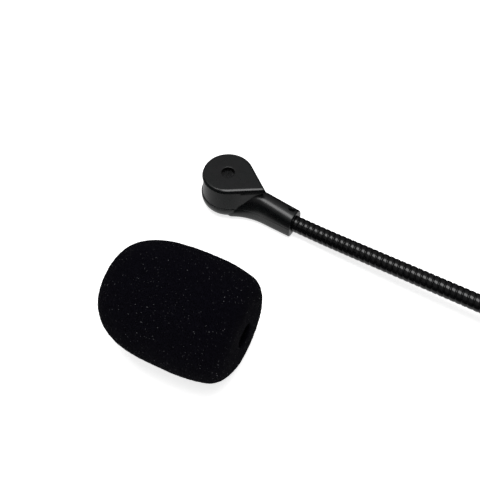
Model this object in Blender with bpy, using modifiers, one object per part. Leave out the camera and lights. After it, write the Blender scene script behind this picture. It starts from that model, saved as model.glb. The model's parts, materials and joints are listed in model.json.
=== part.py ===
"""Gooseneck podium microphone with a teardrop head, a loose foam windscreen and an XLR base.

Units are metres, +Z is up and everything lies on Z = 0. The gooseneck runs along +X from the
head to the base. Lengths named below in millimetres are turned into metres by MM.
"""
import math

import bmesh
import bpy
from mathutils import Matrix, Vector

MM = 0.001
GAP = 0.3 * MM                      # clearance between neighbouring pieces
MERGE = 0.00001                     # merge distance for turned profiles

# ---------------------------------------------------------------- driving dimensions
HEAD_CENTRE = Vector((-184.75, 33.45, 0.0)) * MM      # head axis, so that the row's box is centred

LID_RADIUS = 9.15 * MM
LID_REACH = 15.3 * MM               # head axis to the tip of the teardrop
LID_TIP_RADIUS = 0.45 * MM
LID_TOP = 15.4 * MM
LID_THICKNESS = 1.5 * MM
LID_CHAMFER = 0.4 * MM
PORT_RADIUS = 2.35 * MM

WALL_TOP_RADIUS = 8.8 * MM
WALL_SEAM_RADIUS = 9.8 * MM
RIM_RADIUS = 10.0 * MM
RIM_HEIGHT = 4.7 * MM               # centre height of the rounded bottom edge
CAVITY_RADIUS = 7.7 * MM

SEAM_HEIGHT = 5.8 * MM              # the parting plane between the two shells
LOWER_FLOOR = 1.5 * MM              # thickness of the lower shell's floor
REAR_PORT_RADIUS = 1.2 * MM

SHELL_SCREW_PLACES = [(-4.7 * MM, -5.6 * MM), (-4.7 * MM, 5.6 * MM)]
SHELL_SCREW_RADIUS = 0.6 * MM
SHELL_SCREW_HEAD = 1.25 * MM        # radius of the head
SHELL_SCREW_SEAT = 1.9 * MM         # height of the face that the head pulls against
BOSS_RADIUS = 1.5 * MM
BOSS_TOP = 11.8 * MM
SET_SCREW_RADIUS = 0.9 * MM
SET_SCREW_LENGTH = 1.2 * MM
SET_SCREW_PLACE = 26.3 * MM         # head axis to the screw that grips the gooseneck
SET_SCREW_LEAN = math.radians(14.0)

NECK_END = 28.5 * MM
NECK_HALF_WIDTH = 4.4 * MM
NECK_FILLET = 20.0 * MM
NECK_TOP_AT_TIP = 11.7 * MM
NECK_TOP_AT_END = 9.9 * MM
NECK_BOTTOM = 0.3 * MM
NECK_UPPER_FULLNESS = 2.4           # of the section above the axis: 2 is an ellipse, more is squarer
NECK_LOWER_FULLNESS = 4.0
NECK_SKIRT_RISE = 5.6 * MM          # the neck's spread into the head ends this far above its axis
NECK_RING_POINTS = 28

TUBE_RADIUS = 3.0 * MM
TUBE_BORE = 1.5 * MM
TUBE_AXIS_HEIGHT = 4.6 * MM
TUBE_START = 14.0 * MM              # where the gooseneck starts inside the neck
TUBE_SHOW = 3.3 * MM                # rigid length showing at each end of the gooseneck
TUBE_SIDES = 20
CABLE_RADIUS = 1.1 * MM

LINK_LENGTH = 26.0 * MM
LINK_RISE = (4.5, 4.0, 2.4, 0.0, 0.0, 0.0, 0.0, 0.0, 0.0, 0.0)      # degrees above level
LINK_SWING = (-0.1, 0.5, 1.4, 2.0, 2.0, 1.2, 0.2, -0.6, -1.0, -0.8) # degrees towards +Y
LINK_CLEARANCE = 0.3 * MM           # from a joint's centre to the end of each link's bore
LINK_CONE = math.radians(16.0)      # slope of a link's end, just over half of its largest bend

BARREL_RADIUS = 9.5 * MM
BARREL_WALL = 1.3 * MM
COLLAR_LENGTH = 16.0 * MM
BARREL_LENGTH = 44.0 * MM
SHELL_LENGTH = 24.0 * MM
SPIGOT_LENGTH = 5.0 * MM
INSERT_RADIUS = 7.7 * MM
INSERT_LENGTH = 8.0 * MM
NOSE_RADIUS = 4.9 * MM              # narrow end of the base's collar
PIN_RADIUS = 1.18 * MM
PIN_TAIL = 4.5 * MM                 # how far the pins reach behind the insert
PIN_CIRCLE = 4.4 * MM
PIN_ANGLES = (45.0, 135.0, 270.0)   # degrees round the insert, seen from the plug's end

FOAM_CENTRE = Vector((19.3, -59.0, 19.46)) * MM     # from the head axis
FOAM_TURN = math.radians(6.57)
FOAM_LENGTH = 47.6 * MM
FOAM_RADIUS = 19.46 * MM
FOAM_MOUTH_RADIUS = 16.2 * MM
FOAM_WIDEST = 29.7 * MM             # distance of the widest place from the closed end
FOAM_NOSE_POWER = 3.05
FOAM_CORNER = 5.3 * MM
POCKET_RADIUS = 6.8 * MM
POCKET_DEPTH = 31.0 * MM


# ---------------------------------------------------------------- scene and materials
def clear_scene():
    for item in list(bpy.data.objects):
        bpy.data.objects.remove(item, do_unlink=True)


def new_collection(name):
    collection = bpy.data.collections.new(name)
    bpy.context.scene.collection.children.link(collection)
    return collection


def make_material(name, colour, roughness, metallic=0.0):
    material = bpy.data.materials.new(name)
    material.use_nodes = True
    shader = material.node_tree.nodes["Principled BSDF"]
    shader.inputs["Base Color"].default_value = (*colour, 1.0)
    shader.inputs["Roughness"].default_value = roughness
    shader.inputs["Metallic"].default_value = metallic
    return material


clear_scene()
PARTS = new_collection("gooseneck_podium_microphone")
CUTTERS = new_collection("cutters")
HOUSING = make_material("housing_plastic", (0.022, 0.024, 0.026), 0.42)
FOAM = make_material("windscreen_foam", (0.008, 0.008, 0.009), 0.95)
WIRE = make_material("gooseneck_wire", (0.020, 0.020, 0.022), 0.30, 0.4)
BLACK_METAL = make_material("base_metal", (0.030, 0.030, 0.032), 0.38, 0.7)
STEEL = make_material("screw_steel", (0.10, 0.10, 0.11), 0.35, 1.0)
SILVER = make_material("pin_silver", (0.80, 0.78, 0.74), 0.22, 1.0)
ALUMINIUM = make_material("capsule_can", (0.72, 0.73, 0.74), 0.35, 1.0)
RUBBER = make_material("capsule_rubber", (0.025, 0.025, 0.025), 0.8)
MESH_SCREEN = make_material("port_screen", (0.05, 0.05, 0.05), 0.6, 0.6)
BOARD = make_material("circuit_board", (0.03, 0.16, 0.07), 0.45)
COMPONENT = make_material("component_case", (0.04, 0.04, 0.045), 0.5)
INSERT = make_material("insert_plastic", (0.05, 0.05, 0.055), 0.45)
SHEATH = make_material("cable_sheath", (0.06, 0.06, 0.065), 0.55)
LEAD_COLOURS = {
    "white": make_material("lead_white", (0.75, 0.75, 0.72), 0.5),
    "red": make_material("lead_red", (0.55, 0.04, 0.03), 0.5),
    "yellow": make_material("lead_yellow", (0.70, 0.52, 0.05), 0.5),
}


# ---------------------------------------------------------------- making solids
def add_object(name, mesh, material=None, matrix=None, collection=None):
    item = bpy.data.objects.new(name, mesh)
    (collection or PARTS).objects.link(item)
    if material:
        mesh.materials.append(material)
    if matrix is not None:
        item.matrix_world = matrix
    return item


def hide_as_cutter(item):
    for collection in list(item.users_collection):
        collection.objects.unlink(item)
    CUTTERS.objects.link(item)
    item.hide_render = True
    item.display_type = "WIRE"
    return item


def boolean(item, other, operation):
    modifier = item.modifiers.new(operation.lower() + "_" + other.name, "BOOLEAN")
    modifier.operation = operation
    modifier.solver = "EXACT"
    modifier.object = other
    return item


def cut(item, *cutters):
    for cutter in cutters:
        boolean(item, hide_as_cutter(cutter), "DIFFERENCE")
    return item


def smooth(item, angle=35.0):
    item.data.shade_smooth()
    item.data.set_sharp_from_angle(angle=math.radians(angle))
    return item


def loft(name, rings, material=None, matrix=None):
    """A closed solid through rings of the same number of points, first ring to last."""
    shape = bmesh.new()
    levels = [[shape.verts.new(point) for point in ring] for ring in rings]
    count = len(rings[0])
    for low, high in zip(levels, levels[1:]):
        for i in range(count):
            j = (i + 1) % count
            shape.faces.new((low[i], low[j], high[j], high[i]))
    shape.faces.new(reversed(levels[0]))
    shape.faces.new(levels[-1])
    bmesh.ops.recalc_face_normals(shape, faces=shape.faces)
    mesh = bpy.data.meshes.new(name)
    shape.to_mesh(mesh)
    shape.free()
    return smooth(add_object(name, mesh, material, matrix))


def turned(name, profile, sides, material=None, matrix=None):
    """Turn (radius, height) points about Z. A tube's profile is closed by repeating its start."""
    closed = profile[0] == profile[-1]
    points = profile[:-1] if closed else profile
    mesh = bpy.data.meshes.new(name)
    edges = [(i, i + 1) for i in range(len(points) - 1)]
    if closed:
        edges.append((len(points) - 1, 0))
    mesh.from_pydata([(radius, 0.0, height) for radius, height in points], edges, [])
    item = add_object(name, mesh, material, matrix)
    screw = item.modifiers.new("turn", "SCREW")
    screw.steps = sides
    screw.render_steps = sides
    screw.use_merge_vertices = True
    screw.merge_threshold = MERGE
    screw.use_smooth_shade = True
    return item


def tube_profile(outer, inner, low, high):
    return [(outer, high), (outer, low), (inner, low), (inner, high), (outer, high)]


def rod(name, radius, low, high, sides=24, material=None, matrix=None):
    return turned(name, [(0.0, high), (radius, high), (radius, low), (0.0, low)], sides, material, matrix)


def box(name, low, high, material=None, matrix=None):
    shape = bmesh.new()
    bmesh.ops.create_cube(shape, size=1.0)
    size = Vector(high) - Vector(low)
    middle = (Vector(high) + Vector(low)) / 2
    scale = Matrix.Diagonal((*size, 1.0))
    bmesh.ops.transform(shape, matrix=Matrix.Translation(middle) @ scale, verts=shape.verts)
    mesh = bpy.data.meshes.new(name)
    shape.to_mesh(mesh)
    shape.free()
    return add_object(name, mesh, material, matrix)


def wire(name, points, radius, material):
    """A round wire through a few points, rounded by a cubic curve sampled at even steps."""
    path = spline_points([Vector(point) for point in points], 5)
    curve = bpy.data.curves.new(name, "CURVE")
    curve.dimensions = "3D"
    curve.bevel_depth = radius
    curve.bevel_resolution = 2
    curve.use_fill_caps = True
    curve.materials.append(material)
    line = curve.splines.new("POLY")
    line.points.add(len(path) - 1)
    for point, place in zip(line.points, path):
        point.co = (*place, 1.0)
    item = bpy.data.objects.new(name, curve)
    PARTS.objects.link(item)
    return item


def spline_points(knots, steps):
    ends = [2 * knots[0] - knots[1]] + knots + [2 * knots[-1] - knots[-2]]
    path = []
    for a, b, c, d in zip(ends, ends[1:], ends[2:], ends[3:]):
        for i in range(steps):
            t = i / steps
            path.append(0.5 * (2 * b + (c - a) * t + (2 * a - 5 * b + 4 * c - d) * t * t
                               + (3 * b - a - 3 * c + d) * t ** 3))
    path.append(knots[-1])
    return path


def arc(centre, radius, start, end, steps):
    """Points of an arc, angles in degrees, both ends included."""
    return [
        (centre[0] + radius * math.cos(math.radians(start + (end - start) * i / steps)),
         centre[1] + radius * math.sin(math.radians(start + (end - start) * i / steps)))
        for i in range(steps + 1)
    ]


def along(start, direction):
    """A matrix that puts the local Z axis along direction, from start, with local X kept level."""
    forward = Vector(direction).normalized()
    side = forward.cross(Vector((0.0, 0.0, 1.0)))
    side = side.normalized() if side.length > 0.01 else Vector((1.0, 0.0, 0.0))
    across = forward.cross(side)
    turn = Matrix((side, across, forward)).transposed().to_4x4()
    return Matrix.Translation(start) @ turn


def in_head(x, y, z):
    return HEAD_CENTRE + Vector((x, y, z))


HEAD_FRAME = Matrix.Translation(HEAD_CENTRE)
FORWARD = Vector((1.0, 0.0, 0.0))


# ---------------------------------------------------------------- the gooseneck's course
def joint_places():
    """The centres of the gooseneck's bends, from the head to the base."""
    places = [in_head(NECK_END + TUBE_SHOW, 0.0, TUBE_AXIS_HEIGHT)]
    for rise, swing in zip(LINK_RISE, LINK_SWING):
        rise, swing = math.radians(rise), math.radians(swing)
        step = Vector((math.cos(rise) * math.cos(swing), math.cos(rise) * math.sin(swing), math.sin(rise)))
        places.append(places[-1] + LINK_LENGTH * step)
    return places


JOINTS = joint_places()
BASE_START = JOINTS[-1] + FORWARD * TUBE_SHOW
BASE_FRAME = along(BASE_START, FORWARD)


def in_base(x, y, z):
    """A place measured from the base's front end: along the base, to its left, and up."""
    return BASE_START + Vector((x, y, z))


# ---------------------------------------------------------------- head
def teardrop(radius, reach, tip_radius, height):
    """A circle about the head axis and a small tip circle, joined by their tangents."""
    lean = math.degrees(math.acos((radius - tip_radius) / (reach - tip_radius)))
    outline = arc((0.0, 0.0), radius, lean, 360.0 - lean, 36)
    outline += arc((reach - tip_radius, 0.0), tip_radius, -lean, lean, 4)
    return [(x, y, height) for x, y in outline]


def rim_profile(bottom, outer, top):
    """Rounded-bottom bowl shape, turned about the head axis."""
    flat = outer - RIM_HEIGHT
    edge = arc((flat, RIM_HEIGHT), RIM_HEIGHT, 0.0, -90.0, 8)
    return [(0.0, top), (outer, top)] + edge + [(0.0, bottom)]


def neck_section(x):
    """Half width and top of the neck at distance x from the head axis."""
    fillet_centre = math.sqrt((RIM_RADIUS + NECK_FILLET) ** 2 - (NECK_HALF_WIDTH + NECK_FILLET) ** 2)
    tangent = RIM_RADIUS * fillet_centre / (RIM_RADIUS + NECK_FILLET)
    depth = max(0.0, fillet_centre - max(x, tangent))
    half = NECK_HALF_WIDTH + NECK_FILLET - math.sqrt(NECK_FILLET ** 2 - depth ** 2)
    run = min(1.0, max(0.0, (x - LID_REACH) / (NECK_END - LID_REACH)))
    return half, NECK_TOP_AT_TIP + (NECK_TOP_AT_END - NECK_TOP_AT_TIP) * run


def neck_ring(x):
    """A full, rounded section in the plane at x, widest level with the gooseneck."""
    half, top = neck_section(x)
    ring = []
    for i in range(NECK_RING_POINTS):
        angle = 2 * math.pi * (i + 0.5) / NECK_RING_POINTS
        across, rise = math.cos(angle), math.sin(angle)
        reach = top - TUBE_AXIS_HEIGHT if rise > 0 else TUBE_AXIS_HEIGHT - NECK_BOTTOM
        power = 2 / (NECK_UPPER_FULLNESS if rise > 0 else NECK_LOWER_FULLNESS)
        height = reach * math.copysign(abs(rise) ** power, rise)
        spread = (half - NECK_HALF_WIDTH) * min(1.0, max(0.0, 1.0 - height / NECK_SKIRT_RISE))
        side = math.copysign((NECK_HALF_WIDTH + spread) * abs(across) ** power, across)
        ring.append((x, side, TUBE_AXIS_HEIGHT + height))
    return ring


def neck_solid(name):
    stations = [4.0, 6.4, 7.6, 9.0, 10.8, 12.8, LID_REACH / MM, 21.0, NECK_END / MM]
    return loft(name, [neck_ring(x * MM) for x in stations], matrix=HEAD_FRAME)


def seam_block(name, shift, upwards):
    """A block on one side of the parting plane."""
    far, tall = 40.0 * MM, 30.0 * MM
    place = HEAD_FRAME @ Matrix.Translation((0.0, 0.0, SEAM_HEIGHT + shift))
    low, high = (0.0, tall) if upwards else (-tall, 0.0)
    return hide_as_cutter(box(name, (-far, -far, low), (far, far, high), matrix=place))


def neck_bore(name):
    """The hole in the neck for the end of the gooseneck."""
    frame = along(in_head(0.0, 0.0, TUBE_AXIS_HEIGHT), FORWARD)
    return rod(name, TUBE_RADIUS + GAP, 6.0 * MM, NECK_END + 2.0 * MM, TUBE_SIDES + 8, matrix=frame)


SET_SCREW_FRAME = along(in_head(SET_SCREW_PLACE, 0.0, TUBE_AXIS_HEIGHT),
                        (0.0, math.sin(SET_SCREW_LEAN), math.cos(SET_SCREW_LEAN)))


def make_lid():
    floor = LID_TOP - LID_THICKNESS
    face_reach, face_tip_radius = LID_REACH - 1.6 * LID_CHAMFER, LID_TIP_RADIUS - 0.2 * MM
    rings = [
        teardrop(LID_RADIUS, LID_REACH, LID_TIP_RADIUS, floor),
        teardrop(LID_RADIUS, LID_REACH, LID_TIP_RADIUS, LID_TOP - LID_CHAMFER),
        teardrop(LID_RADIUS - LID_CHAMFER, face_reach, face_tip_radius, LID_TOP),
    ]
    lid = loft("head_lid", rings, HOUSING, HEAD_FRAME)
    skirt_outer, skirt_inner, skirt_depth = 7.3 * MM, 6.4 * MM, 1.0 * MM
    profile = tube_profile(skirt_outer, skirt_inner, floor - skirt_depth, floor + 0.4 * MM)
    skirt = hide_as_cutter(turned("lid_skirt", profile, 36, matrix=HEAD_FRAME))
    boolean(lid, skirt, "UNION")
    port = rod("lid_port", PORT_RADIUS, floor - MM, LID_TOP + MM, 28, matrix=HEAD_FRAME)
    return smooth(cut(lid, port))


def make_upper_shell():
    top = LID_TOP - LID_THICKNESS - GAP
    shell = loft("head_upper_shell", [
        teardrop(WALL_SEAM_RADIUS + 0.15 * MM, LID_REACH, LID_TIP_RADIUS, 4.0 * MM),
        teardrop(WALL_TOP_RADIUS, LID_REACH - 0.5 * MM, LID_TIP_RADIUS, top),
    ], HOUSING, HEAD_FRAME)
    boolean(shell, hide_as_cutter(neck_solid("upper_neck")), "UNION")
    boolean(shell, seam_block("upper_side", GAP / 2, True), "INTERSECT")
    cavity = rod("upper_cavity", CAVITY_RADIUS, -MM, top + MM, 40, matrix=HEAD_FRAME)
    cut(shell, cavity, neck_bore("upper_bore"))
    for number, (x, y) in enumerate(SHELL_SCREW_PLACES, 1):
        place = Matrix.Translation(in_head(x, y, 0.0))
        boss = rod("boss_%d" % number, BOSS_RADIUS, SEAM_HEIGHT + 0.6 * MM, BOSS_TOP, 20, matrix=place)
        boolean(shell, hide_as_cutter(boss), "UNION")
        hole = rod("boss_hole_%d" % number, SHELL_SCREW_RADIUS + GAP / 2, 0.0, BOSS_TOP - 0.6 * MM, 16,
                   matrix=place)
        cut(shell, hole)
    cut(shell, rod("set_screw_hole", SET_SCREW_RADIUS + GAP / 2, 0.0, 9.0 * MM, 20, matrix=SET_SCREW_FRAME))
    return smooth(shell)


def make_lower_shell():
    shell = turned("head_lower_shell", rim_profile(0.0, RIM_RADIUS, 9.0 * MM), 48, HOUSING, HEAD_FRAME)
    boolean(shell, hide_as_cutter(neck_solid("lower_neck")), "UNION")
    boolean(shell, seam_block("lower_side", -GAP / 2, False), "INTERSECT")
    above_seam, round_radius = 9.5 * MM, 3.6 * MM
    hollow = [(0.0, above_seam), (CAVITY_RADIUS, above_seam), (CAVITY_RADIUS, RIM_HEIGHT)]
    hollow += arc((CAVITY_RADIUS - round_radius, RIM_HEIGHT - 0.5 * MM), round_radius, 0.0, -90.0, 6)
    hollow.append((0.0, LOWER_FLOOR))
    cut(shell, turned("lower_cavity", hollow, 40, matrix=HEAD_FRAME), neck_bore("lower_bore"))
    cut(shell, rod("rear_port", REAR_PORT_RADIUS, -MM, 2 * LOWER_FLOOR, 20, matrix=HEAD_FRAME))
    for number, (x, y) in enumerate(SHELL_SCREW_PLACES, 1):
        place = Matrix.Translation(in_head(x, y, 0.0))
        hole = rod("screw_hole_%d" % number, SHELL_SCREW_RADIUS + GAP / 2, -MM, 8.0 * MM, 16, matrix=place)
        recess = rod("screw_recess_%d" % number, SHELL_SCREW_HEAD + GAP / 2, -MM, SHELL_SCREW_SEAT, 20,
                     matrix=place)
        cut(shell, hole, recess)
    return smooth(shell)


def make_port_screens():
    """A disc of woven wire behind each of the two ports."""
    below_lid = LID_TOP - LID_THICKNESS - GAP
    above_floor = LOWER_FLOOR + GAP
    rod("front_port_screen", 4.6 * MM, below_lid - 0.45 * MM, below_lid, 28, MESH_SCREEN, HEAD_FRAME)
    rod("rear_port_screen", 2.6 * MM, above_floor, above_floor + 0.4 * MM, 24, MESH_SCREEN, HEAD_FRAME)


def make_capsule():
    can_low, can_high, can_radius = 8.3 * MM, 12.3 * MM, 4.85 * MM
    can = [(0.0, can_high), (can_radius - 0.3 * MM, can_high), (can_radius, can_high - 0.3 * MM),
           (can_radius, can_low), (0.0, can_low)]
    turned("capsule_can", can, 32, ALUMINIUM, HEAD_FRAME)
    rod("capsule_felt", 4.2 * MM, can_high + 0.2 * MM, can_high + 0.6 * MM, 28, RUBBER, HEAD_FRAME)
    boot = tube_profile(5.6 * MM, can_radius + 0.1 * MM, can_low + 0.2 * MM, can_high - 0.3 * MM)
    turned("capsule_boot", boot, 32, RUBBER, HEAD_FRAME)
    rod("capsule_board", 4.3 * MM, can_low - 1.1 * MM, can_low - 0.2 * MM, 28, BOARD, HEAD_FRAME)


def make_head_screws():
    for number, (x, y) in enumerate(SHELL_SCREW_PLACES, 1):
        tip, seat = BOSS_TOP - 1.2 * MM, SHELL_SCREW_SEAT - 0.1 * MM
        face = seat - 0.7 * MM
        profile = [(0.0, tip), (SHELL_SCREW_RADIUS, tip), (SHELL_SCREW_RADIUS, seat),
                   (SHELL_SCREW_HEAD, seat), (SHELL_SCREW_HEAD, face), (0.0, face)]
        place = Matrix.Translation(in_head(x, y, 0.0))
        turned("shell_screw_%d" % number, profile, 16, STEEL, place)
    low = TUBE_RADIUS + 0.1 * MM
    rod("neck_set_screw", SET_SCREW_RADIUS, low, low + SET_SCREW_LENGTH, 16, STEEL, SET_SCREW_FRAME)


def make_head_wiring():
    axis = along(in_head(0.0, 0.0, TUBE_AXIS_HEIGHT), FORWARD)
    end = NECK_END + TUBE_SHOW - LINK_CLEARANCE
    rod("signal_cable_head", CABLE_RADIUS, 8.0 * MM, end - 0.4 * MM, 12, SHEATH, axis)
    for name, side in (("red", -1.0), ("white", 1.0)):
        points = [in_head(7.6 * MM, side * 0.55 * MM, TUBE_AXIS_HEIGHT),
                  in_head(5.0 * MM, side * 0.9 * MM, TUBE_AXIS_HEIGHT),
                  in_head(2.8 * MM, side * 1.3 * MM, TUBE_AXIS_HEIGHT + 0.7 * MM),
                  in_head(2.3 * MM, side * 1.5 * MM, 6.9 * MM)]
        wire("capsule_lead_" + name, points, 0.28 * MM, LEAD_COLOURS[name])


# ---------------------------------------------------------------- gooseneck
def bending_tube(low, high, bends_low, bends_high):
    """A tube's profile, coned at each end that meets a bend so that it clears the next tube."""
    cone_low = math.tan(LINK_CONE) if bends_low else 0.0
    cone_high = math.tan(LINK_CONE) if bends_high else 0.0
    return [
        (TUBE_RADIUS, high - TUBE_RADIUS * cone_high), (TUBE_RADIUS, low + TUBE_RADIUS * cone_low),
        (TUBE_BORE, low + TUBE_BORE * cone_low), (TUBE_BORE, high - TUBE_BORE * cone_high),
        (TUBE_RADIUS, high - TUBE_RADIUS * cone_high),
    ]


def make_gooseneck():
    inside = along(in_head(0.0, 0.0, TUBE_AXIS_HEIGHT), FORWARD)
    end = NECK_END + TUBE_SHOW - LINK_CLEARANCE
    profile = bending_tube(TUBE_START, end, False, True)
    turned("gooseneck_head_end", profile, TUBE_SIDES, WIRE, inside)
    for number, (start, finish) in enumerate(zip(JOINTS, JOINTS[1:]), 1):
        length = (finish - start).length
        frame = along(start, finish - start)
        profile = bending_tube(LINK_CLEARANCE, length - LINK_CLEARANCE, True, True)
        turned("gooseneck_link_%02d" % number, profile, TUBE_SIDES, WIRE, frame)
        slack = LINK_CLEARANCE + 0.4 * MM
        rod("signal_cable_%02d" % number, CABLE_RADIUS, slack, length - slack, 12, SHEATH, frame)
    tail = along(JOINTS[-1], FORWARD)
    profile = bending_tube(LINK_CLEARANCE, 18.0 * MM, True, False)
    turned("gooseneck_base_end", profile, TUBE_SIDES, WIRE, tail)
    rod("signal_cable_base", CABLE_RADIUS, LINK_CLEARANCE + 0.4 * MM, 25.0 * MM, 12, SHEATH, tail)


# ---------------------------------------------------------------- base
BARREL_START = COLLAR_LENGTH + GAP
SHELL_START = BARREL_START + BARREL_LENGTH + GAP
SHELL_END = SHELL_START + SHELL_LENGTH
INSERT_START = SHELL_START + 2.0 * MM
SPIGOT_RADIUS = BARREL_RADIUS - BARREL_WALL - GAP


def radial_screw(name, distance, outer, depth, radius, upwards=False):
    """A small screw set flush in the base's wall, above or below, and the hole that it sits in."""
    direction = Vector((0.0, 0.0, 1.0 if upwards else -1.0))
    frame = along(in_base(distance, 0.0, 0.0), direction)
    rod(name, radius, outer - depth, outer - 0.25 * MM, 16, STEEL, frame)
    return rod(name + "_hole", radius + GAP / 2, outer - depth - 0.2 * MM, outer + 2 * MM, 20, matrix=frame)


def make_collar(grip_hole, barrel_hole):
    """The tapered collar that grips the gooseneck and plugs into the barrel."""
    bore, edge = TUBE_RADIUS + GAP, 0.5 * MM
    cone_start, cone_end, steps = 5.0 * MM, 13.0 * MM, 6
    profile = [(bore, 0.0), (NOSE_RADIUS - edge, 0.0), (NOSE_RADIUS, edge), (NOSE_RADIUS, cone_start)]
    for i in range(1, steps + 1):
        ease = (i / steps) ** 2 * (3 - 2 * i / steps)
        height = cone_start + (cone_end - cone_start) * i / steps
        profile.append((NOSE_RADIUS + (BARREL_RADIUS - NOSE_RADIUS) * ease, height))
    end = COLLAR_LENGTH + SPIGOT_LENGTH
    profile += [(BARREL_RADIUS, COLLAR_LENGTH), (SPIGOT_RADIUS, COLLAR_LENGTH), (SPIGOT_RADIUS, end),
                (bore, end)]
    profile.reverse()
    collar = turned("base_collar", profile + [profile[0]], 40, BLACK_METAL, BASE_FRAME)
    return cut(collar, grip_hole, barrel_hole)


def make_barrel(barrel_hole):
    inner = BARREL_RADIUS - BARREL_WALL
    low, high, edge = BARREL_START, BARREL_START + BARREL_LENGTH, 0.3 * MM
    profile = [(BARREL_RADIUS - edge, high), (BARREL_RADIUS, high - edge), (BARREL_RADIUS, low + edge),
               (BARREL_RADIUS - edge, low), (inner, low), (inner, high), (BARREL_RADIUS - edge, high)]
    return cut(turned("base_barrel", profile, 40, BLACK_METAL, BASE_FRAME), barrel_hole)


def make_plug_shell(insert_hole):
    """The round shell of the three-pin plug, with a spigot that goes into the barrel."""
    inner, edge = BARREL_RADIUS - BARREL_WALL, 0.4 * MM
    spigot_start = SHELL_START - SPIGOT_LENGTH
    spigot_inner = SPIGOT_RADIUS - 1.0 * MM
    seat = INSERT_START - GAP
    profile = [(BARREL_RADIUS - edge, SHELL_END), (BARREL_RADIUS, SHELL_END - edge),
               (BARREL_RADIUS, SHELL_START),
               (SPIGOT_RADIUS, SHELL_START), (SPIGOT_RADIUS, spigot_start), (spigot_inner, spigot_start),
               (spigot_inner, seat), (inner, seat), (inner, SHELL_END), (BARREL_RADIUS - edge, SHELL_END)]
    shell = turned("plug_shell", profile, 40, BLACK_METAL, BASE_FRAME)
    latch_far = SHELL_END - 4.5 * MM
    window = box("latch_window", in_base(latch_far - 4.0 * MM, -2.5 * MM, 7.0 * MM),
                 in_base(latch_far, 2.5 * MM, 12.0 * MM))
    return cut(shell, insert_hole, window)


def make_insert():
    """The insulator that holds the three pins, with a notch on top for the plug that mates with it."""
    start, end, edge = INSERT_START, INSERT_START + INSERT_LENGTH, 0.4 * MM
    profile = [(0.0, end), (INSERT_RADIUS - edge, end), (INSERT_RADIUS, end - edge), (INSERT_RADIUS, start),
               (0.0, start)]
    insert = turned("plug_insert", profile, 40, INSERT, BASE_FRAME)
    pin_start, pin_end = INSERT_START - PIN_TAIL, SHELL_END - 2.2 * MM
    tip = 0.8 * MM
    for number, degrees in enumerate(PIN_ANGLES, 1):
        angle = math.radians(degrees)
        place = in_base(0.0, -PIN_CIRCLE * math.cos(angle), PIN_CIRCLE * math.sin(angle))
        frame = along(place, FORWARD)
        pin = [(0.0, pin_end), (PIN_RADIUS - tip, pin_end), (PIN_RADIUS - tip / 3, pin_end - tip / 3),
               (PIN_RADIUS, pin_end - tip), (PIN_RADIUS, pin_start), (0.0, pin_start)]
        turned("plug_pin_%d" % number, pin, 20, SILVER, frame)
        hole = rod("pin_hole_%d" % number, PIN_RADIUS + 0.1 * MM, start - MM, end + MM, 24, matrix=frame)
        cut(insert, hole)
    key = box("key_notch", in_base(end - 2.0 * MM, -1.0 * MM, INSERT_RADIUS - 1.4 * MM),
              in_base(end + MM, 1.0 * MM, INSERT_RADIUS + MM))
    return cut(insert, key)


def make_preamp():
    """The small circuit board in the barrel, with its parts and the leads to the pins."""
    start = COLLAR_LENGTH + SPIGOT_LENGTH + 4.0 * MM
    end = start + 28.0 * MM
    half, level, thick = 6.6 * MM, -2.2 * MM, 1.2 * MM
    box("preamp_board", in_base(start, -half, level - thick), in_base(end, half, level), BOARD)
    face = level + 0.1 * MM
    box("preamp_chip", in_base(start + 9 * MM, -2.0 * MM, face),
        in_base(start + 14 * MM, 2.0 * MM, face + 1.5 * MM), COMPONENT)
    for number, (distance, side) in enumerate(((19.0 * MM, -3.2 * MM), (22.5 * MM, 3.0 * MM)), 1):
        frame = along(in_base(start + distance, side, face), (0.0, 0.0, 1.0))
        can = [(0.0, 5.5 * MM), (2.1 * MM, 5.5 * MM), (2.5 * MM, 5.1 * MM), (2.5 * MM, 0.0), (0.0, 0.0)]
        turned("preamp_capacitor_%d" % number, can, 20, ALUMINIUM, frame)
    for number, (colour, degrees) in enumerate(zip(LEAD_COLOURS, PIN_ANGLES), 1):
        angle = math.radians(degrees)
        side, up = -PIN_CIRCLE * math.cos(angle), PIN_CIRCLE * math.sin(angle)
        tail = INSERT_START - PIN_TAIL - GAP
        leave = in_base(end + GAP, side * 0.8, level - thick / 2)
        arrive = in_base(tail, side, up)
        bow = in_base((end + tail) / 2, side * 0.9, (level + up) / 2 + 0.6 * MM)
        wire("pin_lead_%d" % number, [leave, bow, arrive], 0.5 * MM, LEAD_COLOURS[colour])


def make_base():
    in_spigot, in_insert = COLLAR_LENGTH + 2.8 * MM, INSERT_START + INSERT_LENGTH / 2
    grip_hole = radial_screw("collar_set_screw", 3.0 * MM, NOSE_RADIUS, 1.4 * MM, 0.9 * MM, upwards=True)
    barrel_hole = radial_screw("barrel_screw", in_spigot, BARREL_RADIUS, 2.6 * MM, 1.1 * MM)
    insert_hole = radial_screw("insert_screw", in_insert, BARREL_RADIUS, 1.4 * MM, 1.1 * MM)
    make_collar(grip_hole, barrel_hole)
    make_barrel(barrel_hole)
    make_plug_shell(insert_hole)
    make_insert()
    make_preamp()


# ---------------------------------------------------------------- windscreen
def foam_radius(distance):
    """Outer radius of the foam at a distance from its closed end."""
    if distance < FOAM_WIDEST:
        shape = 1.0 - (1.0 - distance / FOAM_WIDEST) ** FOAM_NOSE_POWER
        return FOAM_RADIUS * shape ** (1.0 / FOAM_NOSE_POWER)
    share = (distance - FOAM_WIDEST) / (FOAM_LENGTH - FOAM_WIDEST)
    radius = FOAM_RADIUS - (FOAM_RADIUS - FOAM_MOUTH_RADIUS) * share ** 2
    into_corner = distance - (FOAM_LENGTH - FOAM_CORNER)
    if into_corner > 0.0:
        radius -= FOAM_CORNER - math.sqrt(FOAM_CORNER ** 2 - into_corner ** 2)
    return radius


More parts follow.
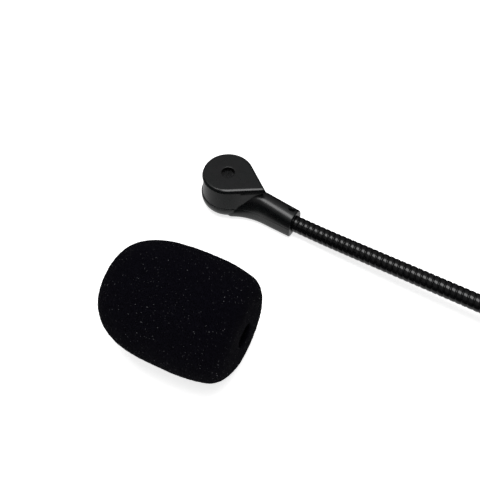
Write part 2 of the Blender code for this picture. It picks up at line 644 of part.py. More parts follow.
def make_windscreen():
    """Foam cover lying beside the head, its mouth turned the way the gooseneck runs."""
    heading = Vector((math.cos(FOAM_TURN), math.sin(FOAM_TURN), 0.0))
    frame = along(HEAD_CENTRE + FOAM_CENTRE - heading * FOAM_LENGTH / 2, heading)
    rounds, quarter = 9, math.pi / 2
    side = FOAM_LENGTH - FOAM_CORNER - FOAM_WIDEST
    stations = [FOAM_WIDEST * (1.0 - math.cos(quarter * i / rounds)) for i in range(1, rounds + 1)]
    stations += [FOAM_WIDEST + side * share for share in (0.4, 0.75, 1.0)]
    rises = [1.0 - math.sin(quarter * share) for share in (0.35, 0.65, 1.0)]
    stations += [FOAM_LENGTH - FOAM_CORNER * rise for rise in rises]
    outside = [(foam_radius(distance), distance) for distance in stations]
    lip, round_radius = 1.2 * MM, 3.0 * MM
    pocket_end = FOAM_LENGTH - POCKET_DEPTH
    inside = [(0.0, pocket_end)]
    inside += arc((POCKET_RADIUS - round_radius, pocket_end + round_radius), round_radius, -90.0, 0.0, 4)
    inside += [(POCKET_RADIUS, FOAM_LENGTH - lip), (POCKET_RADIUS + lip, FOAM_LENGTH)]
    turned("foam_windscreen", inside + outside[::-1] + [(0.0, 0.0)], 48, FOAM, frame)


make_lid()
make_upper_shell()
make_lower_shell()
make_port_screens()
make_capsule()
make_head_screws()
make_head_wiring()
make_gooseneck()
make_base()
make_windscreen()
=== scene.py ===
"""Fine meshes, materials, studio and camera for the gooseneck podium microphone.

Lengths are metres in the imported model's frame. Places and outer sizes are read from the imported
model, and the small details that it leaves plain are named here in millimetres times MM.
"""
import json
from math import acos, copysign, cos, hypot, pi, radians, sin, sqrt

import bmesh
import bpy
from mathutils import Matrix, Vector, noise

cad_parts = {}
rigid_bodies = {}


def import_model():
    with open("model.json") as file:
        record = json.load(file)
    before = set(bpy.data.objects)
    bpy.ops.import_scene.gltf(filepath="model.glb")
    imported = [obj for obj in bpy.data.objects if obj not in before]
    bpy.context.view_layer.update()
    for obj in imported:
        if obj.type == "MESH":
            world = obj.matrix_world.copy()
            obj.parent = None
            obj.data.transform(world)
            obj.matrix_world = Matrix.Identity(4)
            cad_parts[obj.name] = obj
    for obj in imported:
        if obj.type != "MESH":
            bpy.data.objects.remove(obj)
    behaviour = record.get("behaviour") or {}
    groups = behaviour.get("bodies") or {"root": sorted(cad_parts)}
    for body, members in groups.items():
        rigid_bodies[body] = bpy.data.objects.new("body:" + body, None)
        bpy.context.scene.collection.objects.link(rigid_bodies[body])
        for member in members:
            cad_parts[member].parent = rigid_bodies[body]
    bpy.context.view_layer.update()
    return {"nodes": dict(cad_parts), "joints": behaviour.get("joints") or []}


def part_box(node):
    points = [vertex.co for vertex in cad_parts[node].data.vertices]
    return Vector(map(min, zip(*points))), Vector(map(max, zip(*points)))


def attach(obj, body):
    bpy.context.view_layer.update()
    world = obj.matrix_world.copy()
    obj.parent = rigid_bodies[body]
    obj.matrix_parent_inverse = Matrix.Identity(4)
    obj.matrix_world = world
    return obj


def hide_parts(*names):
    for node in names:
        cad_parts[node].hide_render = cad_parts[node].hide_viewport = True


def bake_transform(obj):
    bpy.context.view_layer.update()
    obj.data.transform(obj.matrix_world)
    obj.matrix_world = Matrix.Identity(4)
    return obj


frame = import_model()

MM = 0.001
UP = Vector((0.0, 0.0, 1.0))
FORWARD = Vector((1.0, 0.0, 0.0))


# ---- sizes read from the frame
def middle(node):
    low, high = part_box(node)
    return (low + high) / 2


HEAD = Vector((*middle("capsule_can").xy, 0.0))
LID_LOW, LID_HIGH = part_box("head_lid")
LID_RADIUS = HEAD.x - LID_LOW.x
LID_REACH = LID_HIGH.x - HEAD.x
LID_TOP = LID_HIGH.z
RIM_RADIUS = HEAD.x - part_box("head_lower_shell")[0].x
NECK_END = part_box("head_lower_shell")[1].x - HEAD.x
SEAM_HEIGHT = (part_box("head_lower_shell")[1].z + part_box("head_upper_shell")[0].z) / 2
WALL_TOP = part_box("head_upper_shell")[1].z
BENDS = [Vector(joint["pos_m"]) for joint in frame["joints"] if joint["type"] == "hinge"]
BEND_BODIES = [(joint["parent"], joint["child"]) for joint in frame["joints"] if joint["type"] == "hinge"]
TUBE_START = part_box("gooseneck_head_end")[0].x
TUBE_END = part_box("gooseneck_base_end")[1].x
TUBE_AXIS_HEIGHT = BENDS[0].z
TUBE_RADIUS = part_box("gooseneck_head_end")[1].z - TUBE_AXIS_HEIGHT

BASE = Vector((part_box("base_collar")[0].x, *middle("base_barrel").yz))
BARREL_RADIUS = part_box("base_barrel")[1].z - BASE.z
INSERT_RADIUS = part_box("plug_insert")[1].z - BASE.z

# details finer than the frame
LID_THICKNESS = 1.5 * MM
LID_TIP_RADIUS = 0.45 * MM
LID_EDGE = 0.22 * MM  # rounding of the lid's top edge
LID_BEVEL_WIDTH = 0.80 * MM  # a shallow bevel runs round the top, and narrows round the back
LID_BEVEL_NARROW = 0.45  # the bevel's size round the back, against its size at the sides
LID_BEVEL_DROP = 0.27 * MM
LID_DRAFT = 0.40 * MM  # how much the lid widens from its top edge to its underside
LID_FLARE = 0.36 * MM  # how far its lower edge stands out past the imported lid
LID_LIP = 0.9 * MM  # flat ring of the lid round its port
LID_SKIRT = (6.4 * MM, 7.3 * MM)  # inner and outer radius of the skirt that locates the lid
PORT_RADIUS = 2.35 * MM
REAR_PORT_RADIUS = 1.2 * MM
SCREEN_PITCH = 0.34 * MM  # of the wires woven in both ports' screens
SCREEN_WIRE_RADIUS = 0.07 * MM
FRONT_SCREEN_RADIUS = 3.6 * MM
REAR_SCREEN_RADIUS = 1.9 * MM
WALL_TOP_RADIUS = 8.8 * MM
WALL_SEAM_RADIUS = 9.8 * MM
RIM_HEIGHT = 4.7 * MM
CAVITY_RADIUS = 7.7 * MM
CAVITY_ROUNDING = 3.6 * MM
LOWER_FLOOR = 1.5 * MM  # thickness of the lower shell's floor
WALL_LIP = 0.1 * MM  # chamfer round the top of the wall
NECK_HALF_WIDTH = 4.4 * MM
NECK_FILLET = 20.0 * MM
NECK_TOP_AT_TIP = 11.7 * MM
NECK_TOP_AT_END = 9.9 * MM
NECK_BOTTOM = 0.3 * MM
NECK_EDGE = 0.35 * MM  # rounding of the neck's end
NECK_UPPER_FULLNESS = 2.4  # 2 is an ellipse, and more is squarer
NECK_LOWER_FULLNESS = 4.0
NECK_SKIRT_RISE = 5.6 * MM  # the neck's spread into the head ends this far above its axis
SEAM_GAP = 0.12 * MM
SEAM_ROUNDING = 0.12 * MM

WIRE_PITCH = 2.07 * MM
WIRE_HALF_DEPTH = 0.50 * MM
WIRE_HALF_WIDTH = 0.92 * MM
WIRE_FULLNESS = 3.6
CABLE_RADIUS = 1.1 * MM
TURN_STEPS = 30  # rings of points in each turn of wire

BORE_CLEARANCE = 0.12 * MM  # round the gooseneck's ends
SCREW_CLEARANCE = 0.12 * MM
SCREW_EDGE = 0.12 * MM  # chamfer round a screw's ends
BARREL_WALL = 1.3 * MM
BARREL_GAP = 0.3 * MM  # between the base's turned pieces, where it doesn't show
BARREL_SEAM = 0.06 * MM  # and where it does
SPIGOT_RADIUS = BARREL_RADIUS - BARREL_WALL - BARREL_GAP
NOSE_RADIUS = 4.9 * MM  # narrow end of the collar
TURNED_SIDES = 128  # facets round the base's pieces


# ---- mesh making
def new_piece(name, data, matrix=None):
    item = bpy.data.objects.new(name, data)
    bpy.context.scene.collection.objects.link(item)
    if matrix is not None:
        data.transform(matrix)
    return item


def smooth(item, angle=35.0):
    item.data.shade_smooth()
    item.data.set_sharp_from_angle(angle=radians(angle))
    return item


def skin(name, rings, loop=False, matrix=None):
    """A closed mesh through rings of points. One point is a pole, and loop joins last to first."""
    shape = bmesh.new()
    levels = [[shape.verts.new(point) for point in ring] for ring in rings]
    pairs = list(zip(levels, levels[1:])) + ([(levels[-1], levels[0])] if loop else [])
    for low, high in pairs:
        count = max(len(low), len(high))
        for i in range(count):
            j = (i + 1) % count
            corners = [low[i % len(low)], low[j % len(low)], high[j % len(high)], high[i % len(high)]]
            shape.faces.new(list(dict.fromkeys(corners)))
    if not loop:
        for level in (levels[0], levels[-1]):
            if len(level) > 1:
                shape.faces.new(level)
    bmesh.ops.recalc_face_normals(shape, faces=shape.faces)
    mesh = bpy.data.meshes.new(name)
    shape.to_mesh(mesh)
    shape.free()
    return new_piece(name, mesh, matrix)


def turned(name, profile, sides, matrix=None, loop=False):
    """Turn (radius, height) points about Z."""
    rings = []
    for radius, height in profile:
        if radius < 1e-7:
            rings.append([(0.0, 0.0, height)])
            continue
        angles = [2 * pi * i / sides for i in range(sides)]
        rings.append([(radius * cos(a), radius * sin(a), height) for a in angles])
    return skin(name, rings, loop, matrix)


def rounded(corners, loop=False, steps=4):
    """An outline through (x, y, rounding) corners. A rounding starts that far before its corner."""
    outline = []
    count = len(corners)
    for i, (x, y, amount) in enumerate(corners):
        here = Vector((x, y))
        if amount == 0.0 or (not loop and i in (0, count - 1)):
            outline.append((x, y))
            continue
        before = Vector(corners[i - 1][:2]) - here
        after = Vector(corners[(i + 1) % count][:2]) - here
        start = here + before.normalized() * amount
        end = here + after.normalized() * amount
        for step in range(steps + 1):
            t = step / steps
            outline.append(tuple(start * (1 - t) ** 2 + here * 2 * t * (1 - t) + end * t * t))
    return outline


def along(start, direction):
    """A matrix that puts the local Z axis along direction, from start, with local X kept level."""
    forward = Vector(direction).normalized()
    side = forward.cross(UP)
    side = side.normalized() if side.length > 0.01 else Vector((1.0, 0.0, 0.0))
    across = forward.cross(side)
    return Matrix.Translation(start) @ Matrix((side, across, forward)).transposed().to_4x4()


def rod(name, radius, low, high, sides=48, matrix=None):
    return turned(name, [(0.0, low), (radius, low), (radius, high), (0.0, high)], sides, matrix)


def block(name, low, high, matrix=None):
    (x0, y0, z0), (x1, y1, z1) = low, high
    rings = [[(x0, y0, z), (x1, y0, z), (x1, y1, z), (x0, y1, z)] for z in (z0, z1)]
    return skin(name, rings, matrix=matrix)


def combine(item, others, operation):
    """Join, cut or trim item with other solids, which are used up."""
    for other in others:
        modifier = item.modifiers.new("combine", "BOOLEAN")
        modifier.operation = operation
        modifier.solver = "EXACT"
        modifier.object = other
    evaluated = item.evaluated_get(bpy.context.evaluated_depsgraph_get())
    mesh = bpy.data.meshes.new_from_object(evaluated)
    item.modifiers.clear()
    old, item.data = item.data, mesh
    bpy.data.meshes.remove(old)
    mesh.name = item.name
    for other in others:
        shape = other.data
        bpy.data.objects.remove(other)
        bpy.data.meshes.remove(shape)


def cut(item, *cutters):
    combine(item, cutters, "DIFFERENCE")


def soften_rim(item, height, amount):
    """Round the edges that lie in the plane at height, where a parting line runs."""
    shape = bmesh.new()
    shape.from_mesh(item.data)
    near = 0.01 * MM
    edges = []
    for edge in shape.edges:
        flat = all(abs(vert.co.z - height) < near for vert in edge.verts)
        if flat and len(edge.link_faces) == 2 and edge.calc_face_angle(0.0) > radians(40.0):
            edges.append(edge)
    bmesh.ops.bevel(shape, geom=edges, offset=amount, segments=2, profile=0.5, affect="EDGES",
                    clamp_overlap=True)
    shape.to_mesh(item.data)
    shape.free()


# ---- head
HEAD_FRAME = Matrix.Translation(HEAD)


def teardrop(radius, reach, tip_radius, height, round_steps=120, tip_steps=10, straight_steps=16):
    """A circle about the head axis and a small tip circle, joined by their tangents."""
    lean = acos((radius - tip_radius) / (reach - tip_radius))
    points = []
    for i in range(round_steps + 1):
        angle = lean + (2 * pi - 2 * lean) * i / round_steps
        points.append((radius * cos(angle), radius * sin(angle), height))
    tip = []
    for i in range(tip_steps + 1):
        angle = -lean + 2 * lean * i / tip_steps
        tip.append((reach - tip_radius + tip_radius * cos(angle), tip_radius * sin(angle), height))
    shares = [i / straight_steps for i in range(1, straight_steps)]
    towards_tip = [tuple(Vector(points[-1]).lerp(Vector(tip[0]), share)) for share in shares]
    away_from_tip = [tuple(Vector(tip[-1]).lerp(Vector(points[0]), share)) for share in shares]
    return points + towards_tip + tip + away_from_tip


def teardrop_inset(inset, height):
    tip_radius = max(LID_TIP_RADIUS - 0.5 * inset, 0.1 * MM)
    return teardrop(LID_RADIUS - inset, LID_REACH - min(inset, 1.6 * inset), tip_radius, height)


def lid_edge(inset, narrow_inset, height):
    """An outline inset by one amount along the straight sides and by another round the back."""
    wide, narrow = teardrop_inset(inset, height), teardrop_inset(narrow_inset, height)
    outline = []
    for a, b in zip(narrow, wide):
        share = min(1.0, max(0.0, a[0] / (0.6 * LID_RADIUS)))
        outline.append(tuple(Vector(a).lerp(Vector(b), share * share * (3 - 2 * share))))
    return outline


def circle_like(outline, radius, height):
    """A circle whose points face the points of an outline."""
    points = []
    for x, y, _ in outline:
        length = hypot(x, y)
        points.append((radius * x / length, radius * y / length, height))
    return points


def lid_profile(bevel):
    """(inset, height) points up the lid's edge, with its bevel at a share of its full size."""
    floor = LID_TOP - LID_THICKNESS
    shoulder = LID_DRAFT - LID_FLARE
    return rounded([(0.6 * MM, floor, 0.0), (-LID_FLARE, floor, 0.12 * MM),
                    (shoulder, LID_TOP - LID_BEVEL_DROP * bevel, LID_EDGE),
                    (shoulder + LID_BEVEL_WIDTH * bevel, LID_TOP, 0.2 * MM),
                    (1.8 * MM, LID_TOP, 0.0)], steps=5)


def make_lid():
    """The teardrop plate with its bevelled edge, its port, and a skirt underneath."""
    floor = LID_TOP - LID_THICKNESS
    rings = []
    for (inset, height), (narrow_inset, _) in zip(lid_profile(1.0), lid_profile(LID_BEVEL_NARROW)):
        rings.append(lid_edge(inset, narrow_inset, height))
    outer = rings[-1]
    inner = circle_like(outer, PORT_RADIUS + LID_LIP, LID_TOP)
    for share in (0.35, 0.7):
        rings.append([tuple(Vector(a).lerp(Vector(b), share)) for a, b in zip(outer, inner)])
    skirt_inner, skirt_outer = LID_SKIRT
    inside = rounded([(PORT_RADIUS + LID_LIP, LID_TOP, 0.0), (PORT_RADIUS, LID_TOP, 0.22 * MM),
                      (PORT_RADIUS, floor, 0.0)])
    inside += [(skirt_inner, floor), (skirt_inner, floor - MM)]
    inside += [(skirt_outer, floor - MM), (skirt_outer, floor)]
    rings += [circle_like(outer, radius, height) for radius, height in inside]
    lid = smooth(skin("lid_plate", rings, loop=True, matrix=HEAD_FRAME))
    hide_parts("head_lid")
    finish_piece(lid, "head", "housing")


def neck_section(x):
    """Half width and top of the neck at distance x from the head axis."""
    fillet_centre = sqrt((RIM_RADIUS + NECK_FILLET) ** 2 - (NECK_HALF_WIDTH + NECK_FILLET) ** 2)
    tangent = RIM_RADIUS * fillet_centre / (RIM_RADIUS + NECK_FILLET)
    depth = max(0.0, fillet_centre - max(x, tangent))
    half = NECK_HALF_WIDTH + NECK_FILLET - sqrt(NECK_FILLET ** 2 - depth ** 2)
    run = min(1.0, max(0.0, (x - LID_REACH) / (NECK_END - LID_REACH)))
    return half, NECK_TOP_AT_TIP + (NECK_TOP_AT_END - NECK_TOP_AT_TIP) * run


def neck_ring(x, inset=0.0, points=96):
    """A full, rounded section in the plane at x, widest level with the gooseneck."""
    half, top = neck_section(x)
    upper_rise, lower_rise = top - inset - TUBE_AXIS_HEIGHT, TUBE_AXIS_HEIGHT - NECK_BOTTOM - inset
    ring = []
    for i in range(points):
        angle = 2 * pi * (i + 0.5) / points
        across, rise = cos(angle), sin(angle)
        power = 2 / (NECK_UPPER_FULLNESS if rise > 0 else NECK_LOWER_FULLNESS)
        height = (upper_rise if rise > 0 else lower_rise) * copysign(abs(rise) ** power, rise)
        spread = (half - NECK_HALF_WIDTH) * min(1.0, max(0.0, 1.0 - height / NECK_SKIRT_RISE))
        side = copysign((NECK_HALF_WIDTH + spread - inset) * abs(across) ** power, across)
        ring.append((x, side, TUBE_AXIS_HEIGHT + height))
    return ring


def neck_solid(name):
    """The neck without its bore, from inside the head to its rounded end."""
    start, stations, edge_steps = 4.0 * MM, 44, 5
    run = NECK_END - NECK_EDGE - start
    rings = [neck_ring(start + run * i / stations) for i in range(stations + 1)]
    for step in range(1, edge_steps + 1):
        angle = pi / 2 * step / edge_steps
        place, inset = NECK_END - NECK_EDGE * (1 - sin(angle)), NECK_EDGE * (1 - cos(angle))
        rings.append(neck_ring(place, inset))
    return skin(name, rings, matrix=HEAD_FRAME)


def half_space(name, height, upwards):
    """A block that fills one side of a level plane."""
    far, tall = 40.0 * MM, 30.0 * MM
    low, high = (height, height + tall) if upwards else (height - tall, height)
    return block(name, (-far, -far, low), (far, far, high), HEAD_FRAME)


def neck_bore():
    """The hole for the end of the gooseneck."""
    frame_along = along(HEAD + UP * TUBE_AXIS_HEIGHT, FORWARD)
    return rod("bore", TUBE_RADIUS + BORE_CLEARANCE, 6.0 * MM, NECK_END + 2.0 * MM, 64, frame_along)


SHELL_SCREWS = ("shell_screw_1", "shell_screw_2")
SHELL_SCREW_HOLE = 0.75 * MM
SHELL_SCREW_RECESS = 1.4 * MM
SHELL_SCREW_SEAT = 1.9 * MM  # height of the face that the screws' heads pull against
SET_SCREW_LEAN = radians(14.0)
SET_SCREW_DIRECTION = Vector((0.0, sin(SET_SCREW_LEAN), cos(SET_SCREW_LEAN)))
SET_SCREW_RADIUS = 0.9 * MM
SET_SCREW_LENGTH = 1.2 * MM


def set_screw_hole():
    """The neck's screw hole, with a countersink where it meets the neck's top.

    Heights are measured from the middle of the screw: face is the neck's surface there.
    """
    radius = SET_SCREW_RADIUS + SCREW_CLEARANCE
    face, sink, deep, high = 1.78 * MM, 0.22 * MM, -2.0 * MM, 3.0 * MM
    profile = [(0.0, deep), (radius, deep), (radius, face - sink), (radius + 2 * sink, face + sink),
               (radius + 2 * sink, high), (0.0, high)]
    return turned("screw_hole", profile, 48, along(middle("neck_set_screw"), SET_SCREW_DIRECTION))


def make_upper_shell():
    """The leaning teardrop wall above the parting plane, with the upper half of the neck."""
    low, high, steps = 4.0 * MM, WALL_TOP - WALL_LIP, 8
    foot_radius, reach_lean = WALL_SEAM_RADIUS + 0.15 * MM, 0.5 * MM
    rings = []
    for share in (i / steps for i in range(steps + 1)):
        radius = foot_radius + (WALL_TOP_RADIUS - foot_radius) * share
        reach, height = LID_REACH - reach_lean * share, low + (high - low) * share
        rings.append(teardrop(radius, reach, LID_TIP_RADIUS, height))
    rings.append(teardrop(WALL_TOP_RADIUS - WALL_LIP, LID_REACH - reach_lean - WALL_LIP, LID_TIP_RADIUS,
                          WALL_TOP))
    shell = skin("upper_shell_fine", rings, matrix=HEAD_FRAME)
    combine(shell, [neck_solid("neck")], "UNION")
    combine(shell, [half_space("above", SEAM_HEIGHT + SEAM_GAP / 2, True)], "INTERSECT")
    soften_rim(shell, SEAM_HEIGHT + SEAM_GAP / 2, SEAM_ROUNDING)
    cut(shell, rod("cavity", CAVITY_RADIUS, -MM, WALL_TOP + MM, 96, HEAD_FRAME), neck_bore())
    cut(shell, set_screw_hole())
    smooth(shell)
    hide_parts("head_upper_shell")
    finish_piece(shell, "head", "housing")


def make_lower_shell():
    """The round bowl below the parting plane, with the lower half of the neck."""
    flat, steps = RIM_RADIUS - RIM_HEIGHT, 16
    profile = [(0.0, 9.0 * MM), (RIM_RADIUS, 9.0 * MM)]
    for i in range(steps + 1):
        angle = pi / 2 * i / steps
        profile.append((flat + RIM_HEIGHT * cos(angle), RIM_HEIGHT * (1 - sin(angle))))
    profile.append((0.0, 0.0))
    shell = turned("lower_shell_fine", profile, 128, HEAD_FRAME)
    combine(shell, [neck_solid("neck")], "UNION")
    combine(shell, [half_space("below", SEAM_HEIGHT - SEAM_GAP / 2, False)], "INTERSECT")
    soften_rim(shell, SEAM_HEIGHT - SEAM_GAP / 2, SEAM_ROUNDING)
    above_seam = 9.5 * MM
    bowl = rounded([(0.0, above_seam, 0.0), (CAVITY_RADIUS, above_seam, 0.0),
                    (CAVITY_RADIUS, LOWER_FLOOR, CAVITY_ROUNDING), (0.0, LOWER_FLOOR, 0.0)], steps=8)
    cut(shell, turned("hollow", bowl, 96, HEAD_FRAME), neck_bore())
    cutters = [rod("rear_port", REAR_PORT_RADIUS, -MM, 2 * LOWER_FLOOR, 40, HEAD_FRAME)]
    for node in SHELL_SCREWS:
        place = Matrix.Translation(Vector((*middle(node).xy, 0.0)))
        cutters.append(rod("hole", SHELL_SCREW_HOLE, -MM, 8.0 * MM, 32, place))
        cutters.append(rod("recess", SHELL_SCREW_RECESS, -MM, SHELL_SCREW_SEAT, 40, place))
    cut(shell, *cutters)
    smooth(shell)
    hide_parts("head_lower_shell")
    finish_piece(shell, "head", "housing")


def socket_screw(name, node, body, direction, radius, length):
    """A headless screw with a chamfer round each end and a hexagonal socket in the outer one."""
    place = along(middle(node), direction)
    half = length / 2
    profile = [(0.0, -half), (radius - SCREW_EDGE, -half), (radius, SCREW_EDGE - half),
               (radius, half - SCREW_EDGE), (radius - SCREW_EDGE, half), (0.0, half)]
    screw = turned(name, profile, 48, place)
    cut(screw, rod("socket", 0.56 * radius, 0.1 * half, half + MM, 6, place))
    smooth(screw)
    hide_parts(node)
    finish_piece(screw, body, "steel")


def cross_screw(name, node, body):
    """A pan-head screw that points up, with a cross recess in its head and threads round its shank."""
    low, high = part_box(node)
    height, head_radius = high.z - low.z, (high.x - low.x) / 2
    shank, head_height, pitch, thread = 0.6 * MM, 0.7 * MM, 0.35 * MM, 0.1 * MM
    profile = rounded([(0.0, 0.0, 0.0), (head_radius, 0.0, 0.4 * MM), (head_radius, head_height, 0.1 * MM),
                       (shank, head_height, 0.0)], steps=6)
    turns = int((height - head_height - MM) / pitch)
    for turn in range(turns):
        root = head_height + 0.4 * MM + turn * pitch
        profile += [(shank - thread, root), (shank, root + pitch / 2)]
    profile += [(shank - thread, height - 0.5 * MM), (0.0, height)]
    place = Matrix.Translation(Vector((*middle(node).xy, low.z)))
    screw = turned(name, profile, 40, place)
    arm, slot_width, depth = 0.62 * head_radius, 0.13 * MM, 0.42 * MM
    cut(screw, block("slot_x", (-arm, -slot_width, -MM), (arm, slot_width, depth), place),
        block("slot_y", (-slot_width, -arm, -MM), (slot_width, arm, depth), place))
    smooth(screw)
    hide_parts(node)
    finish_piece(screw, body, "steel")


def make_screws():
    for number, node in enumerate(SHELL_SCREWS, 1):
        cross_screw("shell_screw_fine_%d" % number, node, "head")
    socket_screw("neck_screw_fine", "neck_set_screw", "head", SET_SCREW_DIRECTION, SET_SCREW_RADIUS,
                 SET_SCREW_LENGTH)
    for node, direction in BASE_SCREWS.items():
        low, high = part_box(node)
        socket_screw(node + "_fine", node, "base", direction, (high.x - low.x) / 2, high.z - low.z)


def weave(name, radius, pitch, wire_radius, height):
    """Round wires woven over and under each other across a circle."""
    shape = bmesh.new()
    count, sides, steps_per_pitch = int(radius / pitch - 0.01), 5, 4
    for crossways in (False, True):
        for k in range(-count, count + 1):
            offset = k * pitch
            half = sqrt(radius ** 2 - offset ** 2)
            steps = max(2, round(2 * half / pitch * steps_per_pitch))
            rings = []
            for i in range(steps + 1):
                run = -half + 2 * half * i / steps
                wave = wire_radius * cos(pi * (run / pitch + k + crossways))
                ring = []
                for a in (2 * pi * j / sides for j in range(sides)):
                    side, rise = offset + wire_radius * cos(a), wave + wire_radius * sin(a)
                    ring.append(shape.verts.new((side, run, rise) if crossways else (run, side, rise)))
                rings.append(ring)
            for low, high in zip(rings, rings[1:]):
                for j in range(sides):
                    shape.faces.new((low[j], low[(j + 1) % sides], high[(j + 1) % sides], high[j]))
            shape.faces.new(rings[0])
            shape.faces.new(rings[-1])
    bmesh.ops.recalc_face_normals(shape, faces=shape.faces)
    mesh = bpy.data.meshes.new(name)
    shape.to_mesh(mesh)
    shape.free()
    return smooth(new_piece(name, mesh, Matrix.Translation((*HEAD.xy, height))), 60.0)


def make_port_screen(side, open_radius):
    """A woven screen in a flat ring."""
    node = side + "_port_screen"
    low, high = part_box(node)
    outer, thick, edge = (high.x - low.x) / 2, high.z - low.z, 0.1 * MM
    ring_profile = rounded([(outer, 0.0, edge), (outer, thick, edge), (open_radius, thick, edge),
                            (open_radius, 0.0, edge)], loop=True)
    ring = turned(side + "_screen_ring", ring_profile, 96, Matrix.Translation((*HEAD.xy, low.z)), loop=True)
    smooth(ring)
    woven = weave(side + "_screen_weave", open_radius, SCREEN_PITCH, SCREEN_WIRE_RADIUS,
                  high.z - 2 * SCREEN_WIRE_RADIUS)
    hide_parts(node)
    finish_piece(ring, "head", "screen")
    finish_piece(woven, "head", "screen")


# ---- base
BASE_FRAME = along(BASE, FORWARD)
BASE_SCREWS = {"collar_set_screw": UP, "barrel_screw": -UP, "insert_screw": -UP}


def base_span(node):
    """Where a node of the base starts and ends, measured from the collar's front."""
    low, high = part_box(node)
    return low.x - BASE.x, high.x - BASE.x


def base_screw_hole(node):
    """The hole for one of the base's screws, open at its outer end."""
    low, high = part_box(node)
    radius, half = (high.x - low.x) / 2 + SCREW_CLEARANCE, (high.z - low.z) / 2
    place = along(middle(node), BASE_SCREWS[node])
    return rod(node + "_hole", radius, -half - 0.2 * MM, half + 3.0 * MM, 48, place)


def finish_base_piece(piece, node, look):
    smooth(piece)
    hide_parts(node)
    finish_piece(piece, "base", look)


def make_collar():
    """The tapered collar that grips the gooseneck, with a spigot for the barrel."""
    shoulder, end = base_span("base_barrel")[0] - BARREL_SEAM, base_span("base_collar")[1]
    bore = TUBE_RADIUS + BORE_CLEARANCE
    cone_start, cone_end, steps = 5.0 * MM, 13.0 * MM, 24
    corners = [(bore, 0.0, 0.25 * MM), (NOSE_RADIUS, 0.0, 0.6 * MM)]
    for share in (i / steps for i in range(steps + 1)):
        ease = share ** 2 * (3 - 2 * share)
        corners.append((NOSE_RADIUS + (BARREL_RADIUS - NOSE_RADIUS) * ease,
                        cone_start + (cone_end - cone_start) * share, 0.0))
    corners += [(BARREL_RADIUS, shoulder, 0.2 * MM), (SPIGOT_RADIUS, shoulder, 0.0),
                (SPIGOT_RADIUS, end, 0.3 * MM), (bore, end, 0.3 * MM)]
    collar = turned("collar_turned", rounded(corners, loop=True), TURNED_SIDES, BASE_FRAME, loop=True)
    cut(collar, base_screw_hole("collar_set_screw"), base_screw_hole("barrel_screw"))
    finish_base_piece(collar, "base_collar", "metal")


def make_barrel():
    low, high = base_span("base_barrel")
    inner = BARREL_RADIUS - BARREL_WALL
    corners = [(BARREL_RADIUS, low, 0.3 * MM), (BARREL_RADIUS, high, 0.3 * MM), (inner, high, 0.2 * MM),
               (inner, low, 0.2 * MM)]
    barrel = turned("barrel_tube", rounded(corners, loop=True), TURNED_SIDES, BASE_FRAME, loop=True)
    cut(barrel, base_screw_hole("barrel_screw"))
    finish_base_piece(barrel, "base_barrel", "metal")


def make_plug_shell():
    """The plug's round shell, with a spigot for the barrel and a window for the mating plug's latch."""
    spigot_start, end = base_span("plug_shell")
    shoulder = base_span("base_barrel")[1] + BARREL_SEAM
    seat = base_span("plug_insert")[0] - BARREL_GAP
    inner, spigot_inner = BARREL_RADIUS - BARREL_WALL, SPIGOT_RADIUS - MM
    corners = [(BARREL_RADIUS, end, 0.45 * MM), (BARREL_RADIUS, shoulder, 0.2 * MM),
               (SPIGOT_RADIUS, shoulder, 0.0), (SPIGOT_RADIUS, spigot_start, 0.3 * MM),
               (spigot_inner, spigot_start, 0.2 * MM), (spigot_inner, seat, 0.0), (inner, seat, 0.0),
               (inner, end, 0.35 * MM)]
    shell = turned("plug_shell_turned", rounded(corners, loop=True), TURNED_SIDES, BASE_FRAME, loop=True)
    far, length, half, corner = end - 4.5 * MM, 4.0 * MM, 2.5 * MM, 0.8 * MM
    outline = rounded([(far - length, -half, corner), (far, -half, corner), (far, half, corner),
                       (far - length, half, corner)], loop=True, steps=6)
    rings = [[(x, y, z) for x, y in outline] for z in (7.0 * MM, 12.0 * MM)]
    window = skin("latch_window", rings, matrix=Matrix.Translation(BASE))
    cut(shell, window, base_screw_hole("insert_screw"))
    finish_base_piece(shell, "plug_shell", "metal")


def make_pin(number):
    """A round pin with a domed tip and a solder cup bored in its back."""
    node = "plug_pin_%d" % number
    (low, high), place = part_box(node), middle(node)
    radius, length = (high.z - low.z) / 2, high.x - low.x
    tip, steps = 1.2 * MM, 10
    profile = [(0.0, 0.0), (radius - 0.1 * MM, 0.0), (radius, 0.1 * MM)]
    for angle in (pi / 2 * i / steps for i in range(steps + 1)):
        profile.append((radius * cos(angle), length - tip + tip * sin(angle)))
    frame_along = along(Vector((low.x, place.y, place.z)), FORWARD)
    pin = turned("pin_%d_turned" % number, profile, 48, frame_along)
    cut(pin, rod("solder_cup", 0.7 * radius, -MM, 3.0 * MM, 32, frame_along))
    finish_base_piece(pin, node, "silver")
    return rod("pin_hole", radius + 0.1 * MM, 0.0, length, 48, frame_along)


def make_insert(pin_holes):
    """The insulator, with a groove round it and a notch on top for the mating plug's key."""
    start, end = base_span("plug_insert")
    groove, depth = start + 3.0 * MM, 0.35 * MM
    corners = [(0.0, start, 0.0), (INSERT_RADIUS, start, 0.2 * MM), (INSERT_RADIUS, groove, 0.0),
               (INSERT_RADIUS - depth, groove + depth, 0.0), (INSERT_RADIUS, groove + 2 * depth, 0.0),
               (INSERT_RADIUS, end, 0.5 * MM), (0.0, end, 0.0)]
    insert = turned("insert_moulded", rounded(corners), TURNED_SIDES, BASE_FRAME)
    half, key_depth, back = 1.0 * MM, 1.4 * MM, 2.0 * MM
    notch_low = (end - back, -half, INSERT_RADIUS - key_depth)
    notch_high = (end + MM, half, INSERT_RADIUS + MM)
    notch = block("key_notch", notch_low, notch_high, Matrix.Translation(BASE))
    cut(insert, notch, *pin_holes)
    finish_base_piece(insert, "plug_insert", "insert")


def make_base():
    make_collar()
    make_barrel()
    make_plug_shell()
    make_insert([make_pin(number) for number in (1, 2, 3)])


